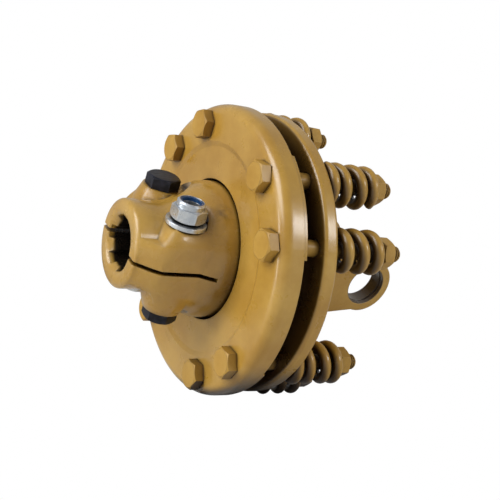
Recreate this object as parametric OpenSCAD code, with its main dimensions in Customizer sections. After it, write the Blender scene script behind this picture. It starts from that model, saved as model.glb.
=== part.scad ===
// Friction torque limiter for a farm drive shaft.
// A splined clamp hub carries a flange between two friction discs. A dished front
// plate and a flange yoke squeeze the discs, pulled together by sprung bolts.
// Sizes are in millimetres. The shaft axis lies along Y and +Z is up. The origin is
// on the bore axis, level with the clamp bolts that lock into the shaft's groove.

/* [Clamp hub] */
// Outside diameter of the hub nose
nose_d = 55; // [50:0.5:60]
// Length of the hub in front of the front plate's face
nose_len = 58; // [54:0.5:66]
// Major diameter of the shaft spline
spline_major_d = 35; // [32:0.1:36]
// Minor diameter of the shaft spline
spline_minor_d = 29.8; // [27:0.1:30.5]
// Number of spline teeth
spline_teeth = 6; // [4:1:8]
// Width of a spline groove
groove_w = 8.7; // [6:0.1:9.4]
// Length of the splined stretch
spline_len = 76; // [60:1:80]
// Width of the cross slot that lets the hub close on the shaft
slot_w = 2.6; // [1.5:0.1:4]
// Clock angle of the slot, from +X towards +Z
slot_angle = -28; // [-90:1:90]
// Clearance between a clamp bolt and the teeth's minor diameter
clamp_clear = 0.3; // [0.2:0.05:0.8]
// Distance of the clamp bolts in front of the front plate's face
clamp_z = 29; // [28:0.5:32]
// Radius of a clamp lug around its bolt
lug_r = 16; // [15:0.5:18]
// Diameter of the collar that shows inside the front plate
collar_d = 87; // [82:0.5:90]
// Distance in front of the front plate at which the flare to the collar starts
flare_z = 40; // [36:0.5:46]

/* [Clamp bolts] */
// Thread diameter of a clamp bolt
clamp_d = 12; // [10:1:12]
// Width across the flats of a clamp bolt head and nut
clamp_af = 19; // [16:1:19]
// Height of a clamp bolt head
clamp_head_h = 7.5; // [6:0.1:9]
// Length of a clamp bolt under its head
clamp_len = 65; // [62:1:68]
// Distance of the head seat from the slot plane
head_seat = 31; // [29:0.5:33]
// Distance of the nut seat from the slot plane
nut_seat = 25.5; // [23:0.5:26]
// Height of a locking nut
lock_nut_h = 12; // [10:0.5:14]
// Room left between a locking nut and its washer, as delivered
nut_slack = 1; // [0:0.1:1.4]
// Outside diameter of a clamp washer
washer_d = 25; // [22:0.5:26]
// Thickness of a clamp washer
washer_t = 2.5; // [1.5:0.1:3]
// Clearance on the radius around a clamp washer and in a clamp hole
clamp_gap = 0.6; // [0.4:0.1:1]

/* [Plates] */
// Outside diameter of the front plate
plate_d = 185; // [180:1:205]
// Clearance on the radius between the front plate and the hub collar
collar_gap = 1.5; // [1:0.1:2.5]
// Thickness of the front plate at its bolts
plate_t = 8.5; // [7:0.5:12]
// Depth of the front plate's rim behind its face
rim_depth = 14.5; // [12:0.5:16]
// Radius of the front plate's shoulder
shoulder_r = 7; // [5:0.5:9]
// Extra depth of the pads on the rim
pad_depth = 2; // [1:0.5:4]
// Angle that one pad covers
pad_angle = 40; // [30:1:50]
// Depth of the face inside the step
step_depth = 1.2; // [0.5:0.1:2.5]
// Width of the slope at the step
step_slope = 3; // [1:0.5:4]
// Distance of the yoke flange's edge inside the front plate's edge
flange_inset = 2; // [0:0.5:4]
// Thickness of the yoke flange
flange_t = 10; // [8:0.5:14]

/* [Friction pack] */
// Clearance between a friction disc and the spring bolts
disc_clear = 6; // [4:0.5:8]
// Distance of a friction disc's hole outside the front plate's hole
disc_inset = 1; // [0.5:0.5:3]
// Thickness of a friction disc
disc_t = 4; // [3:0.1:5]
// Thickness of the hub flange between the discs
hub_flange_t = 10; // [8:0.5:12]
// Height of the friction face on the yoke flange
face_h = 3.5; // [3:0.1:6]
// Diameter of the hub's tail in the pilot bush
tail_d = 64; // [60:0.5:66]
// Length of the pilot bush
bush_len = 9.5; // [8:0.5:11]
// Wall of the pilot bush
bush_wall = 4; // [3:0.5:5]
// Running clearance on the radius between tail and bush
run_gap = 0.05; // [0.02:0.01:0.1]
// Seat clearance on the radius between pressed pieces
seat_gap = 0.02; // [0.01:0.01:0.05]

/* [Sprung bolts] */
// Distance of the bolt circle inside the front plate's edge
bolt_edge = 13; // [12:0.5:15]
// Number of bolt pairs
bolt_pairs = 4; // [3:1:4]
// Angle between the two bolts of a pair
pair_angle = 30; // [28:1:34]
// Clock angle of the first pair's middle, from +X towards +Z
pair_clock = 16.2; // [0:0.1:90]
// Thread diameter of a spring bolt
bolt_d = 10; // [8:1:11]
// Clearance on the radius of a bolt hole
bolt_gap = 0.4; // [0.2:0.05:0.6]
// Width across the flats of a spring bolt head and nut
bolt_af = 17; // [15:1:18]
// Height of a spring bolt head
bolt_head_h = 6.6; // [5:0.1:8]
// Height of a spring nut
spring_nut_h = 8; // [6:0.5:10]
// Length of thread that stands out of a spring nut
thread_proud = 7.5; // [3:0.5:12]
// Outside diameter of a spring
spring_od = 28; // [26:0.5:30]
// Diameter of the spring wire
wire_d = 6.8; // [5:0.1:7]
// Length of a spring as fitted
spring_len = 36.5; // [34:0.5:44]
// Turns of a spring that are free to close
free_turns = 1.8; // [1.5:0.1:2.2]

/* [Yoke ears] */
// Clock angle of the ears, from +X towards +Z
ear_angle = -29; // [-90:1:90]
// Diameter of the cross bore in the ears
cross_d = 27; // [24:0.1:30.2]
// Distance between the outer faces of the ears
ear_span = 77; // [72:0.5:84]
// Thickness of an ear
ear_t = 13; // [10:0.5:15]
// Radius of an ear around its bore
ear_r = 19; // [18:0.5:22]
// Distance of the cross bore behind the yoke flange
cross_reach = 66.5; // [60:0.5:75]
// Width of the ears where they leave the flange
ear_root_w = 54; // [44:1:60]
// Width of a snap ring groove in the cross bore
ring_groove_w = 1.6; // [1:0.1:2.5]
// Depth of a snap ring groove
ring_groove_depth = 0.9; // [0.5:0.1:1.5]

/* [Hidden] */
$fn = 64;
paint = [0.72, 0.58, 0.30];
black = [0.10, 0.10, 0.12];
zinc = [0.80, 0.82, 0.85];
nylon = [0.15, 0.32, 0.62];
lining = [0.20, 0.17, 0.14];
bronze = [0.62, 0.45, 0.24];
bolt_count = 2 * bolt_pairs;
// sizes that follow from the plate, the spline and their clearances
bolt_pcd = plate_d - 2 * bolt_edge;
flange_d = plate_d - 2 * flange_inset;
plate_hole_d = collar_d + 2 * collar_gap;
disc_d = bolt_pcd - bolt_d - 2 * disc_clear;
disc_hole_d = plate_hole_d + 2 * disc_inset;
step_d = disc_d;
hub_flange_r = disc_d / 2 + 1;
clamp_offset = (spline_minor_d + clamp_d) / 2 + clamp_clear;
// stations along the shaft axis, with zero at the front plate's bolt face
disc_front_z = -plate_t;
hub_flange_z = disc_front_z - disc_t;
disc_rear_z = hub_flange_z - hub_flange_t;
face_z = disc_rear_z - disc_t;
flange_front_z = face_z - face_h;
flange_back_z = flange_front_z - flange_t;
spring_end_z = flange_back_z - spring_len;
bolt_end_z = spring_end_z - spring_nut_h - thread_proud;
cross_z = flange_back_z - cross_reach;
bush_room = 1;
tail_room = 1.5;
bush_floor_z = face_z - bush_len - bush_room;
tail_z = bush_floor_z + tail_room;
spline_end_z = nose_len - spline_len;
bush_r = tail_d / 2 + run_gap;
bush_seat_r = bush_r + bush_wall + seat_gap;
ear_gap_r = ear_span / 2 - ear_t;
saddle_floor = 12;
saddle_z = flange_back_z - saddle_floor - ear_gap_r;
lug_reach = clamp_offset + lug_r;
lug_front_z = clamp_z + lug_r + 11;
lug_corner_r = 14;
swell_steps = 10;
head_boss_r = clamp_af * 0.64;
boss_flare_h = 9;
collar_h = 3;
slot_end_z = 9;
nut_base = nut_seat + washer_t + nut_slack;
hole_r = bolt_d / 2 + bolt_gap;
coil_r = (spring_od - wire_d) / 2;
end_turns = 0.8;
end_pitch = wire_d + 0.3;
spring_turns = free_turns + 2 * end_turns;
free_pitch = (spring_len - 1.2 * wire_d + 0.6 * wire_d - 2 * end_turns * end_pitch) / free_turns;
rim_t = 8;
pad_inset = 0.4;
cut = 1;
// overlap that keeps touching curves from meeting in a bare line
weld = 0.05;

bolt_ids = [for (k = [1:bolt_count]) k];
clamp_ids = [1, 2];

// Clock angle of spring bolt k: pairs round the circle, two bolts in each
function bolt_angle(k) =
    pair_clock + floor((k - 1) / 2) * 360 / bolt_pairs + (k % 2 == 1 ? -1 : 1) * pair_angle / 2;

// Height of the wire's centre after t turns: close turns at both ends, open between
function coil_z(t) =
    0.3 * wire_d + end_pitch * min(t, end_turns)
    + free_pitch * max(0, min(t - end_turns, free_turns))
    + end_pitch * max(0, t - end_turns - free_turns);

// Turns the working frame, whose z runs towards the hub mouth, into the part's frame
module on_shaft() {
    rotate([90, 0, 0]) translate([0, 0, -clamp_z]) children();
}

// Places children at spring bolt k, on the front plate's bolt face
module at_bolt(k) {
    rotate(bolt_angle(k)) translate([bolt_pcd / 2, 0, 0]) children();
}

// Places children on clamp bolt k: z runs from the slot plane towards its nut
module at_clamp(k) {
    rotate(slot_angle + (k == 1 ? 0 : 180)) translate([clamp_offset, 0, clamp_z])
        rotate([-90, 0, 0]) children();
}

// Turns the ears' frame: x along the cross bore, z along the shaft
module at_ears() {
    rotate(ear_angle) children();
}

// A hexagon prism with one or two chamfered ends, cut by a turned profile
module hex_prism(af, h, both = false) {
    corner_r = af / sqrt(3);
    flat_r = af / 2 * 0.96;
    over = corner_r * 1.3 - flat_r;
    bevel = over * tan(30);
    foot = both ? bevel : 0;
    foot_r = both ? flat_r : flat_r + over;
    intersection() {
        cylinder(r = corner_r, h = h, $fn = 6);
        rotate_extrude() polygon(concat([[0, 0], [foot_r, 0]], both ? [[flat_r + over, foot]] : [],
                                        [[flat_r + over, h - bevel], [flat_r, h], [0, h]]));
    }
}

// A square in the profile plane, from radius r0 to r1 and from height z0 to z1
module band(r0, r1, z0, z1) {
    translate([r0, z0]) square([r1 - r0, z1 - z0]);
}

// Radius of the hub's flare, a smooth rise from the nose to the collar as t runs from 0 to 1
function flare_r(t) =
    nose_d / 2 + (collar_d - nose_d) / 2 * (1 - cos(180 * t)) / 2;

// Hub profile: rounded nose, smooth flare down to the collar, flange and tail
module hub_profile() {
    nose_r = nose_d / 2;
    collar_r = collar_d / 2;
    nose_round = 2.5;
    flare_steps = 14;
    band(0, nose_r, 0, nose_len - nose_round);
    band(0, nose_r - nose_round, 0, nose_len);
    translate([nose_r - nose_round, nose_len - nose_round]) circle(nose_round);
    polygon(concat([[0, 0], [0, flare_z]],
                   [for (i = [0:flare_steps]) let (t = i / flare_steps)
                       [flare_r(t), flare_z + t * (collar_h - flare_z)]],
                   [[collar_r, 0]]));
    band(0, collar_r, hub_flange_z, cut);
    band(0, hub_flange_r, disc_rear_z, hub_flange_z);
    band(0, tail_d / 2, tail_z, disc_rear_z);
}

// Right half of an outline that widens smoothly from w0 at height z0 to w1 at height z1
function swell(w0, w1, z0, z1) =
    [for (i = [0:swell_steps]) let (t = i / swell_steps) [w0 + (w1 - w0) * sin(90 * t), z0 + (z1 - z0) * t]];

// A closed outline from its right half: mirrored, run down to the collar and up to the lugs' front
module both_sides(half) {
    top = [half[0][0], lug_front_z + cut];
    foot = [half[swell_steps][0], 0];
    back = [for (i = [0:swell_steps]) half[swell_steps - i]];
    polygon(concat([top], half, [foot, [-foot[0], 0]], [for (p = back) [-p[0], p[1]]], [[-top[0], top[1]]]));
}

// End outline of the lugs, seen along the shaft: a block with rounded corners
module lug_end() {
    half_h = nose_d / 2 - 0.5;
    corner_steps = 8;
    polygon([for (q = [[1, 1, 0], [-1, 1, 90], [-1, -1, 180], [1, -1, 270]])
        for (i = [0:corner_steps]) let (a = q[2] + 90 * i / corner_steps)
            [q[0] * (lug_reach - lug_corner_r) + lug_corner_r * cos(a),
             q[1] * (half_h - lug_corner_r) + lug_corner_r * sin(a)]]);
}

// The two lugs as one block, turned down towards the nose and set back under the bolt heads
module lug_body() {
    nose_r = nose_d / 2;
    turned = swell(nose_r - weld, lug_reach + 3, lug_front_z, clamp_z + 5);
    rotate(slot_angle) intersection() {
        rotate_extrude() polygon(concat([[0, lug_front_z]], turned, [[turned[swell_steps][0], 0], [0, 0]]));
        rotate([90, 0, 90]) linear_extrude(2 * nose_len, center = true)
            both_sides(swell(nose_r * 0.56, nose_r, clamp_z + lug_r, clamp_z + 5));
        linear_extrude(nose_len) lug_end();
    }
}

// The lugs with a flared boss under each bolt head
module clamp_lugs() {
    root_r = lug_r - 0.4;
    lug_body();
    for (k = clamp_ids) at_clamp(k) {
        translate([0, 0, -head_seat]) cylinder(r1 = head_boss_r, r2 = root_r, h = boss_flare_h);
        translate([0, 0, boss_flare_h - head_seat]) cylinder(r = root_r, h = head_seat - boss_flare_h);
    }
}

// Splined bore with a lead-in cone and a plain relief behind the teeth
module spline_bore() {
    lead = spline_major_d / 2 + 1.1;
    lead_h = lead - spline_minor_d / 2;
    translate([0, 0, tail_z - cut]) cylinder(d = spline_minor_d, h = nose_len - tail_z + 2 * cut);
    translate([0, 0, tail_z - cut]) cylinder(d = spline_major_d + 1, h = spline_end_z - tail_z + cut);
    translate([0, 0, nose_len - lead_h]) cylinder(r1 = spline_minor_d / 2, r2 = lead, h = lead_h);
    translate([0, 0, nose_len - 0.01]) cylinder(r = lead, h = cut);
    intersection() {
        translate([0, 0, spline_end_z - cut]) cylinder(d = spline_major_d, h = spline_len + 2 * cut);
        for (k = [1:spline_teeth]) rotate(slot_angle + k * 360 / spline_teeth)
            translate([0, -groove_w / 2, spline_end_z - cut])
                cube([spline_major_d, groove_w, spline_len + 2 * cut]);
    }
}

// The cuts for one clamp bolt: hole, head seat and nut seat
module clamp_cuts(k) {
    reach = 2 * head_seat;
    at_clamp(k) {
        translate([0, 0, -reach]) cylinder(r = clamp_d / 2 + clamp_gap, h = 2 * reach);
        translate([0, 0, nut_seat]) cylinder(r = washer_d / 2 + clamp_gap, h = reach);
        translate([0, 0, -head_seat - reach]) cylinder(d = 2 * lug_r + 2, h = reach);
    }
}

module hub() {
    color(paint) on_shaft() difference() {
        union() {
            rotate_extrude() hub_profile();
            clamp_lugs();
        }
        spline_bore();
        rotate(slot_angle) translate([-nose_len, -slot_w / 2, slot_end_z])
            cube([2 * nose_len, slot_w, nose_len]);
        for (k = clamp_ids) clamp_cuts(k);
    }
}

// Front plate profile: stepped face, round shoulder and rim
module plate_profile() {
    rim_r = plate_d / 2;
    flat_r = rim_r - shoulder_r;
    difference() {
        union() {
            band(plate_hole_d / 2, flat_r, -plate_t, 0);
            band(flat_r - 1, rim_r, -rim_depth, -shoulder_r);
            translate([flat_r, -shoulder_r]) circle(shoulder_r);
        }
        polygon([[0, -step_depth], [step_d / 2 - step_slope, -step_depth], [step_d / 2, 0],
                 [step_d / 2, cut], [0, cut]]);
        band(plate_hole_d / 2 - cut, rim_r - rim_t, -2 * rim_depth, -plate_t);
        band(0, rim_r + cut, -2 * rim_depth, -rim_depth);
    }
}

module front_plate() {
    color(paint) on_shaft() difference() {
        union() {
            rotate_extrude() plate_profile();
            for (k = [0:bolt_pairs - 1]) rotate(pair_clock + k * 360 / bolt_pairs - pad_angle / 2)
                rotate_extrude(angle = pad_angle)
                    band(plate_d / 2 - rim_t + pad_inset, plate_d / 2 - pad_inset,
                         -rim_depth - pad_depth, -rim_depth + cut);
        }
        for (k = bolt_ids) at_bolt(k) translate([0, 0, -plate_t - cut])
            cylinder(r = hole_r, h = plate_t + 2 * cut);
    }
}

// A friction lining ring with its front face at height z
module friction_ring(z) {
    color(lining) on_shaft() translate([0, 0, z - disc_t]) difference() {
        cylinder(d = disc_d, h = disc_t);
        translate([0, 0, -cut]) cylinder(d = disc_hole_d, h = disc_t + 2 * cut);
    }
}

module friction_disc_front() {
    friction_ring(disc_front_z);
}

module friction_disc_rear() {
    friction_ring(disc_rear_z);
}

module pilot_bush() {
    color(bronze) on_shaft() translate([0, 0, face_z - bush_len]) difference() {
        cylinder(r = bush_seat_r - seat_gap, h = bush_len);
        translate([0, 0, -cut]) cylinder(r = bush_r, h = bush_len + 2 * cut);
    }
}

// Flange profile with rounded edges, a raised friction face and a round root for the ears
module flange_profile() {
    flange_r = flange_d / 2;
    edge_r = 2.5;
    root_r = 38;
    root_h = 9;
    difference() {
        union() {
            band(0, flange_r - edge_r, flange_back_z, flange_front_z);
            band(0, flange_r, flange_back_z + edge_r, flange_front_z - edge_r);
            for (z = [flange_back_z + edge_r, flange_front_z - edge_r])
                translate([flange_r - edge_r, z]) circle(edge_r);
            band(0, disc_d / 2, flange_front_z, face_z);
            difference() {
                band(0, root_r + root_h, flange_back_z - root_h, flange_back_z);
                translate([root_r + root_h, flange_back_z - root_h]) circle(root_h);
            }
        }
        band(-cut, bush_seat_r, bush_floor_z, face_z + cut);
    }
}

// The two ears seen along the shaft's side: a fork with a round saddle
module fork_side() {
    half = ear_span / 2;
    tip_z = cross_z - ear_r;
    difference() {
        translate([-half, tip_z]) square([2 * half, flange_back_z - tip_z + cut]);
        translate([0, saddle_z]) circle(ear_gap_r);
        translate([-ear_gap_r, tip_z - cut]) square([2 * ear_gap_r, saddle_z - tip_z + cut]);
    }
}

// One ear seen along the cross bore: a tapered arm with a round end
module ear_face() {
    arm_z = cross_z + ear_r * 0.25;
    arm_half = sqrt(ear_r * ear_r - pow(arm_z - cross_z, 2));
    translate([0, cross_z]) circle(ear_r);
    polygon([[-ear_root_w / 2, flange_back_z + cut], [ear_root_w / 2, flange_back_z + cut],
             [arm_half, arm_z], [-arm_half, arm_z]]);
}

// The cross bore through both ears, with a snap ring groove near each outer face
module cross_bore() {
    groove_x = ear_span / 2 - 3.5;
    translate([0, 0, cross_z]) rotate([0, 90, 0]) {
        cylinder(d = cross_d, h = 2 * ear_span, center = true);
        for (s = [-1, 1]) translate([0, 0, s * groove_x])
            cylinder(d = cross_d + 2 * ring_groove_depth, h = ring_groove_w, center = true);
    }
}

module yoke() {
    color(paint) on_shaft() difference() {
        union() {
            rotate_extrude() flange_profile();
            at_ears() intersection() {
                rotate([90, 0, 0]) linear_extrude(2 * ear_span, center = true) fork_side();
                rotate([90, 0, 90]) linear_extrude(2 * ear_span, center = true) ear_face();
            }
        }
        at_ears() cross_bore();
        for (k = bolt_ids) at_bolt(k) translate([0, 0, flange_back_z - cut])
            cylinder(r = hole_r, h = flange_t + 2 * cut);
    }
}

// A round shank with a chamfered end, running down from z = 0
module shank(d, length, tip = 1) {
    translate([0, 0, tip - length]) cylinder(d = d, h = length - tip);
    translate([0, 0, -length]) cylinder(d1 = d - 2 * tip, d2 = d, h = tip);
}

module clamp_bolt(k) {
    color(black) on_shaft() at_clamp(k) translate([0, 0, -head_seat]) rotate([180, 0, 0]) {
        hex_prism(clamp_af, clamp_head_h);
        shank(clamp_d, clamp_len);
    }
}

module clamp_washer(k) {
    color(zinc) on_shaft() at_clamp(k) translate([0, 0, nut_seat]) difference() {
        cylinder(d = washer_d, h = washer_t);
        translate([0, 0, -cut]) cylinder(r = clamp_d / 2 + clamp_gap, h = washer_t + 2 * cut);
    }
}

// Sizes of the locking nut's round collar and of the nylon ring in it
collar_nut_r = clamp_af * 0.46;
ring_h = 2;
ring_sunk = 0.5;
ring_r = clamp_d * 0.61;
hex_share = 0.68;

module clamp_nut(k) {
    crown_h = lock_nut_h * (1 - hex_share);
    color(zinc) on_shaft() at_clamp(k) translate([0, 0, nut_base]) difference() {
        union() {
            hex_prism(clamp_af, lock_nut_h * hex_share, true);
            translate([0, 0, lock_nut_h * hex_share - cut]) cylinder(r = collar_nut_r, h = crown_h);
            translate([0, 0, lock_nut_h - cut]) cylinder(r1 = collar_nut_r, r2 = collar_nut_r - cut, h = cut);
        }
        translate([0, 0, -cut]) cylinder(r = clamp_d / 2 + seat_gap, h = lock_nut_h + 3 * cut);
        translate([0, 0, lock_nut_h - ring_h - ring_sunk]) cylinder(r = ring_r, h = ring_h + cut);
    }
}

module clamp_nut_ring(k) {
    ring_z = nut_base + lock_nut_h - ring_h - ring_sunk;
    color(nylon) on_shaft() at_clamp(k) translate([0, 0, ring_z]) difference() {
        cylinder(r = ring_r - seat_gap, h = ring_h);
        translate([0, 0, -cut]) cylinder(r = clamp_d / 2 - 0.1, h = ring_h + 2 * cut);
    }
}

module spring_bolt(k) {
    color(paint) on_shaft() at_bolt(k) rotate(15 + 25 * k) {
        hex_prism(bolt_af, bolt_head_h);
        shank(bolt_d, -bolt_end_z);
    }
}

// A coil of round wire with flat ground ends, swept as rings of points along a helix
module spring(k) {
    steps = 14;
    sides = 8;
    last = round(spring_turns * steps);
    points = [for (i = [0:last]) let (t = spring_turns * i / last, a = 360 * t)
        for (j = [0:sides - 1]) let (b = 360 * (j + 0.5) / sides, r = coil_r + wire_d / 2 * cos(b))
            [r * cos(a), r * sin(a), max(0, min(spring_len, coil_z(t) + wire_d / 2 * sin(b)))]];
    walls = [for (i = [0:last - 1]) for (j = [0:sides - 1]) let (n = (j + 1) % sides)
        [i * sides + j, (i + 1) * sides + j, (i + 1) * sides + n, i * sides + n]];
    start_cap = [[for (j = [0:sides - 1]) j]];
    end_cap = [[for (j = [0:sides - 1]) last * sides + sides - 1 - j]];
    color(paint) on_shaft() at_bolt(k) translate([0, 0, spring_end_z]) rotate(k * 130)
        polyhedron(points = points, faces = concat(walls, start_cap, end_cap));
}

module spring_nut(k) {
    nut_z = spring_end_z - spring_nut_h;
    color(paint) on_shaft() at_bolt(k) translate([0, 0, nut_z]) rotate(k * 25) difference() {
        hex_prism(bolt_af, spring_nut_h, true);
        translate([0, 0, -cut]) cylinder(r = bolt_d / 2 + seat_gap, h = spring_nut_h + 2 * cut);
    }
}

hub();
front_plate();
friction_disc_front();
friction_disc_rear();
pilot_bush();
yoke();
for (k = clamp_ids) {
    clamp_bolt(k);
    clamp_washer(k);
    clamp_nut(k);
    clamp_nut_ring(k);
}
for (k = bolt_ids) {
    spring_bolt(k);
    spring(k);
    spring_nut(k);
}
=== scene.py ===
"""Studio picture of a friction torque limiter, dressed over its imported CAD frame.

Lengths are in metres in the part's frame: the shaft axis lies along Y, +Z is up.
"""
import math

import bmesh
import bpy
from mathutils import Matrix, Vector


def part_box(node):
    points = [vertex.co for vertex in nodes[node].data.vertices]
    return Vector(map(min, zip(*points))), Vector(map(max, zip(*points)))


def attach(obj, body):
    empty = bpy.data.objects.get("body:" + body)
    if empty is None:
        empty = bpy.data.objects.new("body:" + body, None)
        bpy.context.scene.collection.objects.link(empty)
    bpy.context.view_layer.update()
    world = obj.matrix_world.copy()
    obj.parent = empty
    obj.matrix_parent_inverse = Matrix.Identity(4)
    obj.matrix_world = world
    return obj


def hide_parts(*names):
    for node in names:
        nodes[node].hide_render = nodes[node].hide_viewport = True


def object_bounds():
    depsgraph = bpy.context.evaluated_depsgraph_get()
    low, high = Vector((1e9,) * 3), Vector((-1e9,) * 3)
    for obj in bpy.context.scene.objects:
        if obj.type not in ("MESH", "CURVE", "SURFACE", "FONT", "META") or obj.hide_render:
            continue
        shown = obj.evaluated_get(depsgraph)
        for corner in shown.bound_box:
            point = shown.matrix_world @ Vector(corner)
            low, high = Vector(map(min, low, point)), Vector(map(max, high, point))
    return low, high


MM = 0.001
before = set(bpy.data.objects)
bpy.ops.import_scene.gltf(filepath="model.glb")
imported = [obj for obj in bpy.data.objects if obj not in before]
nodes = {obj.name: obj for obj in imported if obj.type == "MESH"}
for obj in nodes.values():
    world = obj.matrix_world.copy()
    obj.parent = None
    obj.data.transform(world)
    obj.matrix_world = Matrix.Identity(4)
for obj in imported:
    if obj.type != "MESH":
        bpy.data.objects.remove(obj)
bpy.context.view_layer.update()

BOLT_IDS = range(1, 9)
CLAMP_IDS = (1, 2)

# spring coil, as fitted: close turns at both ends, open turns between
WIRE_D = 6.8 * MM
END_TURNS = 0.8
FREE_TURNS = 1.8
END_PITCH = WIRE_D + 0.3 * MM
END_RISE = 0.3 * WIRE_D
COIL_STEPS = 40
WIRE_SIDES = 16
COIL_TURN_PER_BOLT = math.radians(130)

# thread on the spring bolts
THREAD_R = 5.0 * MM
THREAD_ROOT_R = 4.15 * MM
THREAD_PITCH = 1.5 * MM
THREAD_LEN = 24.0 * MM
THREAD_LAP = 0.2 * MM
THREAD_ROOT_FLAT = 0.15
THREAD_FLANK = 0.65
THREAD_END_INSET = 0.3 * MM
THREAD_END_SLOPE = 0.9
THREAD_SEGMENTS = 36
THREAD_ROWS = 8

# hub bore: bare steel, darkened with painted shade, inside this radius, where the lead-in behind its mouth
# has faded out
BORE_R = 18.0 * MM
BORE_FADE = 0.3 * MM
MOUTH_Y = -29.0 * MM
LEAD_IN = (3 * MM, 5 * MM)

# front of the plate, where the hub's collar runs in, and how far the shade there reaches
COLLAR_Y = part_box("front_plate")[0].y
COLLAR_SHADE = 21 * MM

# bore through the yoke's ears
CROSS_AT = (0.0, 135.5 * MM, 0.0)
CROSS_AXIS = (math.cos(math.radians(29)), 0.0, -math.sin(math.radians(29)))
CROSS_R = 13.5 * MM
CROSS_FADE = (0.6 * MM, 0.1 * MM)

# direction across the hub's slot, and how far from the slot its crisp edges turn soft
ACROSS_SLOT = (math.sin(math.radians(28)), 0.0, math.cos(math.radians(28)))
SLOT_FADE = (4 * MM, 9 * MM)

# oily finger mark on the hub's flare, near its nut
SMUDGE_AT = (37.2 * MM, 21.4 * MM, 21.4 * MM)
SMUDGE_REACH = 7 * MM

# directions that shaded faces look in
DOWN = (0.0, 0.0, -1.0)
TO_FRONT = (0.0, -1.0, 0.0)
COIL_SHADE = (0.1, -0.78, -0.62)

# how far painted shade reaches into corners, wide gaps and thin seams
CORNER_REACH = 14 * MM
GAP_REACH = 45 * MM
SEAM_REACH = 2.5 * MM

# edges of the hub that bend less than this are shaded smooth, once points this near are joined
SMOOTH_ANGLE = math.radians(38)
JOIN_DIST = 0.002 * MM

# camera, found by fitting the photograph's rims and bolt circle
CAMERA_AT = Vector((0.50285, -0.24568, -0.01701))
CAMERA_RIGHT = Vector((0.52577, 0.84917, 0.04971))
CAMERA_UP = Vector((0.0, -0.05844, 0.99829))
FOCAL_PIXELS = 900.0
PICTURE_PIXELS = 500.0
SENSOR_MM = 36.0

# studio: place that the lamps face, the surround's strengths and the floor
LIGHT_AIM = Vector((0.0, 0.04, 0.0))
SHOWN_LIGHT = 1.0
SURROUND_LIGHT = 0.10
MIRRORED_LIGHT = 0.42
FLOOR_DROP = 0.4 * MM
FLOOR_REACH = 6.0


def srgb(r, g, b):
    """Linear colour for 8-bit screen values."""
    def channel(v):
        v /= 255.0
        return v / 12.92 if v <= 0.04045 else ((v + 0.055) / 1.055) ** 2.4
    return (channel(r), channel(g), channel(b), 1.0)


WHITE = (1, 1, 1, 1)
PAINT_BASE = srgb(192, 148, 58)
PAINT_LIGHT = srgb(203, 164, 80)
PAINT_DEEP = srgb(165, 121, 38)
# dark brown for painted shade in corners and on undersides
SHADE_BROWN = srgb(52, 33, 12)
# lighter edge colour: worn-through paint plus a painted highlight
WORN_AND_LIT_EDGE = srgb(214, 182, 122)
SHADED = srgb(44, 25, 8)
# bare steel of the bore, its near-black tone painted shade
SHADED_BORE_STEEL = srgb(30, 24, 18)
EAR_STEEL = srgb(58, 56, 56)
SMUDGE = srgb(92, 72, 42)


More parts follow.
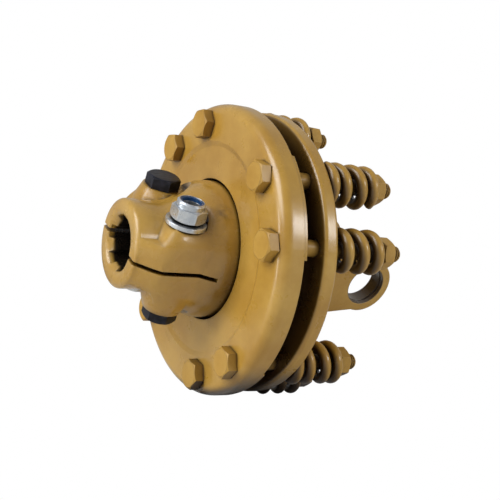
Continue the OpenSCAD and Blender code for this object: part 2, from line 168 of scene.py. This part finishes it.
class Shader:
    """A material under construction, with short calls for the nodes it needs."""

    def __init__(self, name):
        self.material = bpy.data.materials.new(name)
        self.material.use_nodes = True
        self.tree = self.material.node_tree
        self.bsdf = self.tree.nodes["Principled BSDF"]
        self.place = self.node("ShaderNodeTexCoord").outputs["Object"]

    def node(self, kind, **values):
        """A new node with some of its settings."""
        made = self.tree.nodes.new(kind)
        for key, value in values.items():
            setattr(made, key, value)
        return made

    def feed(self, socket, value):
        """Links a socket to another one, or sets it to a constant."""
        if isinstance(value, bpy.types.NodeSocket):
            self.tree.links.new(value, socket)
        else:
            socket.default_value = value

    def noise(self, scale, detail=4.0, roughness=0.55, stretch=None):
        """Cloudy values about a half, drawn out along the axes by a stretch."""
        made = self.node("ShaderNodeTexNoise")
        self.feed(made.inputs["Scale"], scale)
        self.feed(made.inputs["Detail"], detail)
        self.feed(made.inputs["Roughness"], roughness)
        source = self.place
        if stretch:
            mapping = self.node("ShaderNodeMapping")
            self.feed(mapping.inputs["Vector"], self.place)
            self.feed(mapping.inputs["Scale"], stretch)
            source = mapping.outputs["Vector"]
        self.feed(made.inputs["Vector"], source)
        return made.outputs["Fac"]

    def span(self, value, low, high, to_low=0.0, to_high=1.0):
        """A value carried from one range to another, held at the ends."""
        made = self.node("ShaderNodeMapRange", clamp=True)
        for socket, number in zip(made.inputs, (value, low, high, to_low, to_high)):
            self.feed(socket, number)
        return made.outputs[0]

    def mix(self, share, a, b):
        """Colour a with a share of colour b."""
        made = self.node("ShaderNodeMix", data_type="RGBA")
        self.feed(made.inputs["Factor"], share)
        self.feed(made.inputs["A"], a)
        self.feed(made.inputs["B"], b)
        return made.outputs["Result"]

    def math(self, operation, a, b=0.0):
        """One arithmetic step."""
        made = self.node("ShaderNodeMath", operation=operation)
        self.feed(made.inputs[0], a)
        self.feed(made.inputs[1], b)
        return made.outputs[0]

    def times(self, a, b):
        """Product of two values."""
        return self.math("MULTIPLY", a, b)

    def vector(self, operation, a, b=None):
        """One step of vector arithmetic, as its node."""
        made = self.node("ShaderNodeVectorMath", operation=operation)
        self.feed(made.inputs[0], a)
        if b is not None:
            self.feed(made.inputs[1], b)
        return made

    def crevice(self, distance):
        """One in the open, falling towards zero in corners and gaps."""
        made = self.node("ShaderNodeAmbientOcclusion", samples=8)
        self.feed(made.inputs["Distance"], distance)
        return made.outputs["AO"]

    def axis_distance(self):
        """Distance of a point from the shaft axis, and its place along the axis."""
        parts = self.node("ShaderNodeSeparateXYZ")
        self.feed(parts.inputs[0], self.place)
        x, y, z = parts.outputs
        squares = self.math("ADD", self.times(x, x), self.times(z, z))
        return self.math("SQRT", squares), y

    def facing(self, direction, low, high):
        """One where a face looks along a direction, zero where it looks away from it."""
        normal = self.node("ShaderNodeNewGeometry").outputs["Normal"]
        return self.span(self.vector("DOT_PRODUCT", normal, direction).outputs["Value"], low, high)

    def in_cross_bore(self):
        """One on the bare wall of the ears' bore."""
        from_middle = self.vector("SUBTRACT", self.place, CROSS_AT).outputs["Vector"]
        outward = self.vector("CROSS_PRODUCT", from_middle, CROSS_AXIS).outputs["Vector"]
        gap = self.vector("LENGTH", outward).outputs["Value"]
        return self.span(gap, CROSS_R + CROSS_FADE[0], CROSS_R + CROSS_FADE[1])

    def smudge(self, centre, reach):
        """A patchy mark round a point, fading out at a distance from it."""
        gap = self.vector("DISTANCE", self.place, centre).outputs["Value"]
        patchy = self.span(self.noise(260.0, 4.0, 0.6), 0.30, 0.62)
        return self.times(self.span(gap, reach, 0.2 * reach, 0.0, 0.7), patchy)

    def rounded(self, radius, samples):
        """Normal of the surface with its hard edges rounded."""
        made = self.node("ShaderNodeBevel", samples=samples)
        self.feed(made.inputs["Radius"], radius)
        return made.outputs["Normal"]

    def soft_edge(self, radius):
        """Normal that rounds hard edges, and how much of an edge a point is on."""
        soft = self.rounded(radius, 6)
        flat = self.node("ShaderNodeNewGeometry").outputs["Normal"]
        return soft, self.span(self.vector("DOT_PRODUCT", soft, flat).outputs["Value"], 0.98, 0.80)

    def melt(self, normal, radius):
        """Normal of a soft casting: edges away from the hub's slot are rounded widely."""
        soft = self.rounded(radius, 12)
        across = self.vector("DOT_PRODUCT", self.place, ACROSS_SLOT).outputs["Value"]
        away = self.span(self.math("ABSOLUTE", across), *SLOT_FADE)
        made = self.node("ShaderNodeMix", data_type="VECTOR")
        self.feed(made.inputs["Factor"], away)
        # sockets 4 and 5 are the two vectors
        self.feed(made.inputs[4], normal)
        self.feed(made.inputs[5], soft)
        return made.outputs[1]

    def bump(self, height, strength, distance, normal=None):
        """Normal tilted by a height, on top of another normal if there is one."""
        made = self.node("ShaderNodeBump")
        self.feed(made.inputs["Strength"], strength)
        self.feed(made.inputs["Distance"], distance)
        self.feed(made.inputs["Height"], height)
        if normal is not None:
            self.feed(made.inputs["Normal"], normal)
        return made.outputs["Normal"]

    def finish(self, color, roughness, normal=None, **inputs):
        """The material with its surface filled in."""
        self.feed(self.bsdf.inputs["Base Color"], color)
        self.feed(self.bsdf.inputs["Roughness"], roughness)
        if normal is not None:
            self.feed(self.bsdf.inputs["Normal"], normal)
        for key, value in inputs.items():
            self.feed(self.bsdf.inputs[key], value)
        return self.material


def hub_marks(s, color):
    """Bare bore steel under painted shade, painted shade on the underside near the plate, and a finger
    mark.
    """
    radius, along = s.axis_distance()
    # bare steel in the bore, darkened with painted shade
    inside = s.times(s.span(radius, BORE_R, BORE_R - BORE_FADE),
                     s.span(along, MOUTH_Y + LEAD_IN[0], MOUTH_Y + LEAD_IN[1]))
    color = s.mix(inside, color, SHADED_BORE_STEEL)
    # painted shade on the underside, growing towards the plate
    below = s.span(s.facing(DOWN, -0.25, 0.6), 0.0, 1.0, 0.15, 1.0)
    near_plate = s.span(along, COLLAR_Y - COLLAR_SHADE, COLLAR_Y, 0.0, 0.8)
    color = s.mix(s.times(near_plate, below), color, SHADE_BROWN)
    return s.mix(s.smudge(SMUDGE_AT, SMUDGE_REACH), color, SMUDGE)


def yoke_marks(s, color):
    """Shade on the flange's front and bare steel in the ears' bore."""
    color = s.mix(s.times(s.facing(TO_FRONT, 0.75, 0.97), 0.8), color, SHADED)
    return s.mix(s.times(s.in_cross_bore(), 0.8), color, EAR_STEEL)


def coil_marks(s, color):
    """Shade on the sides of the wire that look at the flange and down."""
    return s.mix(s.times(s.facing(COIL_SHADE, 0.22, 0.95), 0.9), color, SHADED)


def paint(name, edge, corner_shade=0.75, gloss=0.30, unshaded_range=(0.10, 0.62), coat=0.5, haze=0.2, wavy=0.12,
          melt=None, marks=None):
    """Gloss tan-gold machine paint: orange peel, tone drift, painted shade in corners, gaps and seams, and
    thin paint on edges lightened further by a painted highlight.
    """
    s = Shader(name)
    drift = s.span(s.noise(22.0, 5.0, 0.6), 0.35, 0.65)
    speck = s.span(s.noise(420.0, 3.0), 0.40, 0.75)
    color = s.mix(drift, PAINT_DEEP, PAINT_LIGHT)
    color = s.mix(0.4, color, PAINT_BASE)
    color = s.mix(s.times(speck, 0.12), color, PAINT_DEEP)
    normal, edge_wear_and_highlight = s.soft_edge(edge)
    if melt:
        normal = s.melt(normal, melt)
    # edges lighter: thin worn paint plus a painted highlight
    color = s.mix(s.times(edge_wear_and_highlight, 0.35), color, WORN_AND_LIT_EDGE)
    # painted shade: paint turns dark brown in corners, where little light reaches
    open_air = s.span(s.crevice(CORNER_REACH), *unshaded_range)
    color = s.mix(s.times(s.math("SUBTRACT", 1.0, open_air), corner_shade), color, SHADE_BROWN)
    # painted shade deep in wide gaps and along thin seams
    deep = s.span(s.crevice(GAP_REACH), 0.12, 0.46, 0.96, 0.0)
    color = s.mix(deep, color, SHADED)
    seam = s.span(s.crevice(SEAM_REACH), 0.35, 0.85, 0.9, 0.0)
    color = s.mix(seam, color, SHADED)
    if marks:
        color = marks(s, color)
    peel = s.bump(s.noise(650.0, 2.0), 0.10, 0.4 * MM, normal)
    cast = s.bump(s.noise(90.0, 4.0), wavy, 0.5 * MM, peel)
    rough = s.span(s.noise(60.0, 4.0), 0.3, 0.7, gloss - 0.06, gloss + 0.10)
    return s.finish(color, rough, cast,
                    **{"Coat Weight": coat, "Coat Roughness": haze, "Specular IOR Level": 0.5})


def black_oxide():
    """Blue-black bolt finish with faint rub marks."""
    s = Shader("black_oxide")
    normal, edge_wear_and_highlight = s.soft_edge(0.5 * MM)
    mottle = s.span(s.noise(260.0, 4.0), 0.35, 0.7)
    color = s.mix(mottle, srgb(20, 21, 28), srgb(46, 47, 60))
    # edges lighter: rubbed finish plus a painted highlight
    color = s.mix(s.times(edge_wear_and_highlight, 0.5), color, srgb(92, 94, 108))
    rub = s.noise(700.0, 3.0, stretch=(1.0, 0.2, 1.0))
    return s.finish(color, s.span(rub, 0.3, 0.7, 0.28, 0.5), s.bump(rub, 0.15, 0.2 * MM, normal),
                    Metallic=0.55)


def bright_zinc():
    """Bright zinc plate with a cool cast, light tumbling marks, painted shade in its crevices and edges
    lightened by wear and a painted highlight.
    """
    s = Shader("bright_zinc")
    normal, edge_wear_and_highlight = s.soft_edge(0.5 * MM)
    cast = s.span(s.noise(120.0, 4.0), 0.35, 0.65)
    color = s.mix(cast, srgb(190, 198, 208), srgb(228, 232, 235))
    # edges near white: tumbled wear plus a painted highlight
    color = s.mix(s.times(edge_wear_and_highlight, 0.5), color, srgb(250, 250, 250))
    # painted shade in the zinc's crevices
    dark = s.span(s.crevice(4 * MM), 0.2, 0.8)
    color = s.mix(dark, srgb(70, 74, 84), color)
    tumbled = s.noise(900.0, 3.0)
    return s.finish(color, s.span(tumbled, 0.3, 0.7, 0.24, 0.42), s.bump(tumbled, 0.08, 0.2 * MM, normal),
                    Metallic=0.88)


def blue_nylon():
    """Blue nylon locking ring, slightly clear."""
    s = Shader("blue_nylon")
    cloud = s.noise(300.0, 3.0)
    color = s.mix(s.span(cloud, 0.3, 0.7), srgb(22, 58, 110), srgb(52, 98, 150))
    return s.finish(color, s.span(cloud, 0.3, 0.7, 0.3, 0.45), s.bump(cloud, 0.1, 0.2 * MM),
                    **{"Subsurface Weight": 0.15, "Subsurface Scale": 1.0 * MM})


def friction_lining():
    """Moulded friction lining with chopped fibre and brass specks."""
    s = Shader("friction_lining")
    fibre = s.noise(500.0, 5.0, 0.7, stretch=(1.0, 3.0, 1.0))
    color = s.mix(s.span(fibre, 0.35, 0.65), srgb(40, 30, 22), srgb(74, 60, 46))
    brass = s.span(s.noise(1400.0, 2.0), 0.66, 0.72)
    color = s.mix(s.times(brass, 0.6), color, srgb(176, 142, 74))
    return s.finish(color, 0.85, s.bump(fibre, 0.4, 0.4 * MM))


def plain_bronze():
    """Turned bronze with fine tool lines."""
    s = Shader("plain_bronze")
    lines = s.noise(200.0, 3.0, stretch=(1.0, 12.0, 1.0))
    color = s.mix(s.span(lines, 0.3, 0.7), srgb(150, 108, 58), srgb(190, 146, 86))
    return s.finish(color, s.span(lines, 0.3, 0.7, 0.25, 0.45), s.bump(lines, 0.2, 0.2 * MM), Metallic=1.0)


def dress(name, material):
    """Gives a CAD node its material."""
    data = nodes[name].data
    data.materials.clear()
    data.materials.append(material)


def new_piece(name, mesh, body, material, slot, *replaced):
    """Links a new mesh as a piece that rides on a body and stands for CAD nodes."""
    piece = bpy.data.objects.new(name, mesh)
    bpy.context.scene.collection.objects.link(piece)
    mesh.materials.clear()
    mesh.materials.append(material)
    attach(piece, body)
    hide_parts(*replaced)


def smooth_copy(name):
    """A CAD node's mesh with its seams joined, smooth except at hard edges."""
    bm = bmesh.new()
    bm.from_mesh(nodes[name].data)
    bmesh.ops.remove_doubles(bm, verts=bm.verts, dist=JOIN_DIST)
    for edge in bm.edges:
        edge.smooth = len(edge.link_faces) == 2 and edge.calc_face_angle(0.0) < SMOOTH_ANGLE
    for face in bm.faces:
        face.smooth = True
    mesh = bpy.data.meshes.new(f"{name}_smooth")
    bm.to_mesh(mesh)
    bm.free()
    return mesh


def finish_mesh(bm, name):
    """Closes a bmesh into a smooth mesh with outward faces."""
    bmesh.ops.recalc_face_normals(bm, faces=bm.faces)
    mesh = bpy.data.meshes.new(name)
    bm.to_mesh(mesh)
    bm.free()
    mesh.shade_smooth()
    return mesh


def join_rings(bm, rings):
    """Faces between rings of as many points, one ring after the other."""
    for a, b in zip(rings, rings[1:]):
        for j in range(len(a)):
            n = (j + 1) % len(a)
            bm.faces.new((a[j], b[j], b[n], a[n]))


def bolt_axis(k):
    """X and Z of spring bolt k's axis, from its box."""
    low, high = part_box(f"spring_bolt_{k}")
    return (low.x + high.x) / 2, (low.z + high.z) / 2


def coil_rise(t, free_pitch):
    """Height of the wire's centre after t turns."""
    first = min(t, END_TURNS)
    free = max(0.0, min(t - END_TURNS, FREE_TURNS))
    last = max(0.0, t - END_TURNS - FREE_TURNS)
    return END_RISE + END_PITCH * first + free_pitch * free + END_PITCH * last


def coil_mesh(k):
    """Round wire wound along a helix, with closed and ground ends, where the CAD spring sits."""
    low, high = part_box(f"spring_{k}")
    axis_x, axis_z = bolt_axis(k)
    length = high.y - low.y
    outer_r = max(high.x - axis_x, axis_x - low.x, high.z - axis_z, axis_z - low.z)
    coil_r = outer_r - WIRE_D / 2
    start = math.atan2(axis_z, axis_x) + k * COIL_TURN_PER_BOLT
    free_pitch = (length - 2 * END_RISE - 2 * END_TURNS * END_PITCH) / FREE_TURNS
    turns = FREE_TURNS + 2 * END_TURNS
    count = round(turns * COIL_STEPS)
    bm = bmesh.new()
    rings = []
    for i in range(count + 1):
        t = turns * i / count
        rise = coil_rise(t, free_pitch)
        angle = start + 2 * math.pi * t
        ring = []
        for j in range(WIRE_SIDES):
            around = 2 * math.pi * j / WIRE_SIDES
            r = coil_r + WIRE_D / 2 * math.cos(around)
            up = max(0.0, min(length, rise + WIRE_D / 2 * math.sin(around)))
            point = (axis_x + r * math.cos(angle), high.y - up, axis_z + r * math.sin(angle))
            ring.append(bm.verts.new(point))
        rings.append(ring)
    join_rings(bm, rings)
    bm.faces.new(rings[0])
    bm.faces.new(list(reversed(rings[-1])))
    return finish_mesh(bm, f"coil_{k}")


def thread_radius(turns, left):
    """Radius of a rolled thread at a place in its pitch, tapered near the bolt's end."""
    ramp = abs((turns % 1.0) * 2 - 1)
    share = min(1.0, max(0.0, (ramp - THREAD_ROOT_FLAT) / THREAD_FLANK))
    r = THREAD_ROOT_R + (THREAD_R - THREAD_ROOT_R) * share
    return min(r, THREAD_ROOT_R - THREAD_END_INSET + max(0.0, left) * THREAD_END_SLOPE)


def threaded_mesh(k):
    """The CAD bolt with its plain end cut off and a true helical thread put in its place."""
    source = nodes[f"spring_bolt_{k}"].data
    _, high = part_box(f"spring_bolt_{k}")
    axis_x, axis_z = bolt_axis(k)
    begin = high.y - THREAD_LEN
    bm = bmesh.new()
    bm.from_mesh(source)
    bmesh.ops.bisect_plane(bm, geom=bm.verts[:] + bm.edges[:] + bm.faces[:], plane_co=(0, begin, 0),
                           plane_no=(0, 1, 0), clear_outer=True)
    rows = round(THREAD_LEN / THREAD_PITCH * THREAD_ROWS)
    rings = []
    for i in range(rows + 1):
        y = begin - THREAD_LAP + (THREAD_LEN + THREAD_LAP) * i / rows
        ring = []
        for j in range(THREAD_SEGMENTS):
            angle = 2 * math.pi * j / THREAD_SEGMENTS
            turns = (y - begin) / THREAD_PITCH - j / THREAD_SEGMENTS
            r = thread_radius(turns, high.y - y)
            ring.append(bm.verts.new((axis_x + r * math.cos(angle), y, axis_z + r * math.sin(angle))))
        rings.append(ring)
    join_rings(bm, rings)
    bm.faces.new(rings[-1])
    return finish_mesh(bm, f"threaded_bolt_{k}")


def area_light(name, toward, distance, width, height, power):
    """A soft box in a direction from the part, facing it."""
    data = bpy.data.lights.new(name, "AREA")
    data.shape = "RECTANGLE"
    data.size = width
    data.size_y = height
    data.energy = power
    lamp = bpy.data.objects.new(name, data)
    bpy.context.scene.collection.objects.link(lamp)
    lamp.location = LIGHT_AIM + Vector(toward).normalized() * distance
    lamp.rotation_euler = (lamp.location - LIGHT_AIM).to_track_quat("Z", "Y").to_euler()
    return lamp


def make_lights():
    """A key above the front, a strip on each side and a fill behind that shows in no reflection."""
    area_light("key_top", (0.15, -0.85, 0.58), 1.1, width=0.7, height=0.7, power=9.2)
    area_light("side_left", (-0.32, -0.94, 0.02), 1.2, width=0.09, height=0.5, power=3.5)
    area_light("side_right", (0.80, 0.50, 0.28), 1.2, width=0.5, height=0.26, power=4.3)
    back_fill = area_light("back_fill", (-0.35, 0.85, 0.45), 1.4, width=0.8, height=0.8, power=6.0)
    back_fill.visible_glossy = False


def make_camera():
    """The photograph's camera: fitted place, direction and roll."""
    data = bpy.data.cameras.new("camera")
    data.sensor_width = SENSOR_MM
    data.lens = FOCAL_PIXELS / PICTURE_PIXELS * SENSOR_MM
    camera = bpy.data.objects.new("camera", data)
    bpy.context.scene.collection.objects.link(camera)
    right = CAMERA_RIGHT.normalized()
    up = (CAMERA_UP - right * CAMERA_UP.dot(right)).normalized()
    back = right.cross(up)
    camera.matrix_world = Matrix.Translation(CAMERA_AT) @ Matrix((right, up, back)).transposed().to_4x4()
    bpy.context.scene.camera = camera


def make_world():
    """White to the camera, a dim surround for light and a brighter one for reflections."""
    world = bpy.data.worlds.new("studio")
    bpy.context.scene.world = world
    world.use_nodes = True
    tree = world.node_tree
    shown = tree.nodes["Background"]
    surround = tree.nodes.new("ShaderNodeBackground")
    mirrored = tree.nodes.new("ShaderNodeBackground")
    for light, strength in ((shown, SHOWN_LIGHT), (surround, SURROUND_LIGHT), (mirrored, MIRRORED_LIGHT)):
        light.inputs["Color"].default_value = WHITE
        light.inputs["Strength"].default_value = strength
    path = tree.nodes.new("ShaderNodeLightPath")
    reflect = tree.nodes.new("ShaderNodeMixShader")
    tree.links.new(path.outputs["Is Glossy Ray"], reflect.inputs["Fac"])
    tree.links.new(surround.outputs[0], reflect.inputs[1])
    tree.links.new(mirrored.outputs[0], reflect.inputs[2])
    pick = tree.nodes.new("ShaderNodeMixShader")
    tree.links.new(path.outputs["Is Camera Ray"], pick.inputs["Fac"])
    tree.links.new(reflect.outputs[0], pick.inputs[1])
    tree.links.new(shown.outputs[0], pick.inputs[2])
    tree.links.new(pick.outputs[0], tree.nodes["World Output"].inputs["Surface"])


def make_floor():
    """A wide pale floor just under the part, plain white to the camera."""
    low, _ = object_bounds()
    mesh = bpy.data.meshes.new("floor")
    z = low[2] - FLOOR_DROP
    corners = [(x * FLOOR_REACH, y * FLOOR_REACH, z) for x, y in ((-1, -1), (1, -1), (1, 1), (-1, 1))]
    mesh.from_pydata(corners, [], [(0, 1, 2, 3)])
    floor = bpy.data.objects.new("floor", mesh)
    bpy.context.scene.collection.objects.link(floor)
    s = Shader("pale_floor")
    s.finish(srgb(228, 228, 225), 0.9)
    glow = s.node("ShaderNodeEmission")
    s.feed(glow.inputs["Color"], WHITE)
    path = s.node("ShaderNodeLightPath")
    pick = s.node("ShaderNodeMixShader")
    s.feed(pick.inputs["Fac"], path.outputs["Is Camera Ray"])
    s.feed(pick.inputs[1], s.bsdf.outputs[0])
    s.feed(pick.inputs[2], glow.outputs[0])
    s.feed(s.tree.nodes["Material Output"].inputs["Surface"], pick.outputs[0])
    mesh.materials.append(s.material)


hub_paint = paint("hub_paint", edge=1.2 * MM, gloss=0.26, coat=0.7, haze=0.15, wavy=0.45,
                  melt=8 * MM, marks=hub_marks)
plate_paint = paint("plate_paint", edge=1.0 * MM)
yoke_paint = paint("yoke_paint", edge=1.4 * MM, marks=yoke_marks)
# bolts and springs get strong painted shade in their corners
bolt_paint = paint("bolt_paint", edge=0.6 * MM, gloss=0.46, unshaded_range=(0.25, 0.92), coat=0.08)
spring_paint = paint("spring_paint", edge=0.4 * MM, corner_shade=0.92, gloss=0.36, unshaded_range=(0.30, 1.02), coat=0.3,
                     haze=0.12, marks=coil_marks)
oxide = black_oxide()
zinc = bright_zinc()
nylon = blue_nylon()
lining = friction_lining()
bronze = plain_bronze()

new_piece("hub_smooth", smooth_copy("hub"), "hub", hub_paint, "hub_paint", "hub")
dress("front_plate", plate_paint)
dress("yoke", yoke_paint)
dress("pilot_bush", bronze)
dress("friction_disc_front", lining)
dress("friction_disc_rear", lining)
for k in CLAMP_IDS:
    dress(f"clamp_bolt_{k}", oxide)
    dress(f"clamp_washer_{k}", zinc)
    dress(f"clamp_nut_{k}", zinc)
    dress(f"clamp_nut_ring_{k}", nylon)
for k in BOLT_IDS:
    dress(f"spring_nut_{k}", bolt_paint)
    new_piece(f"coil_{k}", coil_mesh(k), "drum", spring_paint, "spring_paint", f"spring_{k}")
    new_piece(f"threaded_bolt_{k}", threaded_mesh(k), "drum", bolt_paint, "bolt_paint", f"spring_bolt_{k}")

make_camera()
make_world()
make_floor()
make_lights()

bpy.context.scene.view_settings.view_transform = "Standard"
